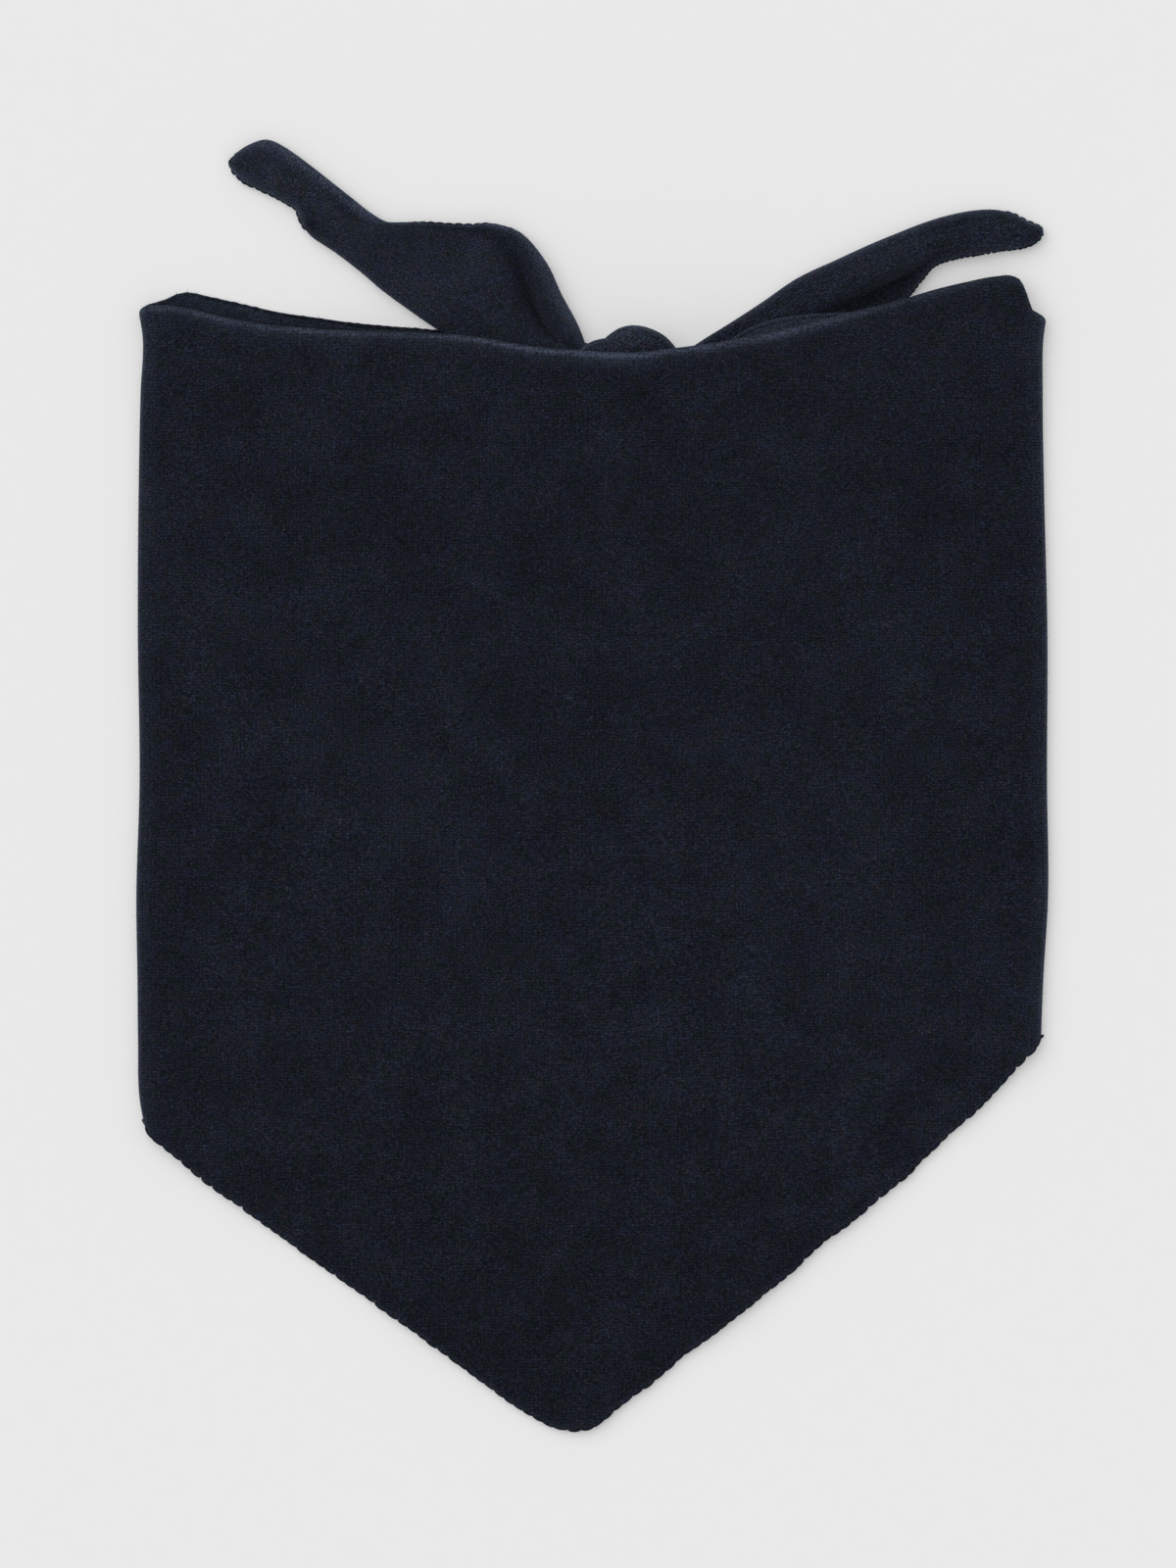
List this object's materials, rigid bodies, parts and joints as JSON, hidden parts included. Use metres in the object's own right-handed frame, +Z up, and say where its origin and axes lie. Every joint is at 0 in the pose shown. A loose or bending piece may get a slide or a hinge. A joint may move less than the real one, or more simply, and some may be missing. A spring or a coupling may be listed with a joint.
{
  "type": "knitted triangular bandana, laid flat and tied",
  "caption": "Triangular knitted neck bandana laid flat, its ends folded behind at the sides and tied in a reef knot with two short tails above the neck edge.",
  "frame": {"origin": "on the surface the bandana lies on, under the middle of its outline", "axes": "+Z up off the surface, -Y towards the point of the triangle, +Y towards the neck edge, knot and tails, +X to the right as seen from above"},
  "size_m": [0.3113, 0.4399, 0.0193],
  "materials": {
    "knit": "soft matt navy jersey knit with a light nap"
  },
  "bodies": {
    "root": {"front_panel": "knit", "left_wing": "knit", "right_wing": "knit", "reef_knot": "knit", "left_tail": "knit", "right_tail": "knit"}
  },
  "joints": []
}
